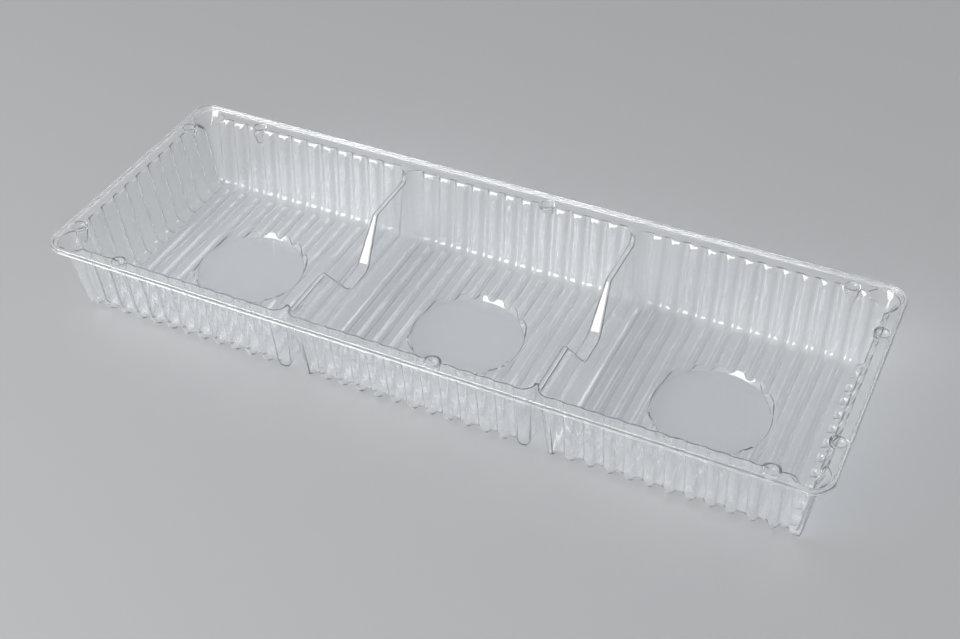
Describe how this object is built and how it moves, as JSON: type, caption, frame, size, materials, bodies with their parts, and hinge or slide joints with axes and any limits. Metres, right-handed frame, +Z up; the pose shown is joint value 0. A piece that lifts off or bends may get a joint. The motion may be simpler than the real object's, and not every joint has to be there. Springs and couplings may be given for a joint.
{
  "type": "plastic transport tray",
  "caption": "Clear thermoformed tray with ribbed cells in a row, parted by notched dividers inside a beaded flange.",
  "frame": {"origin": "middle of the base, on the surface that the tray stands on", "axes": "+X along the row of cells, +Y across it, +Z up out of the cells"},
  "size_m": [0.26, 0.093, 0.03],
  "materials": {
    "clear_plastic": "clear glossy formed sheet"
  },
  "bodies": {
    "root": {"tray": "clear_plastic"}
  },
  "joints": []
}
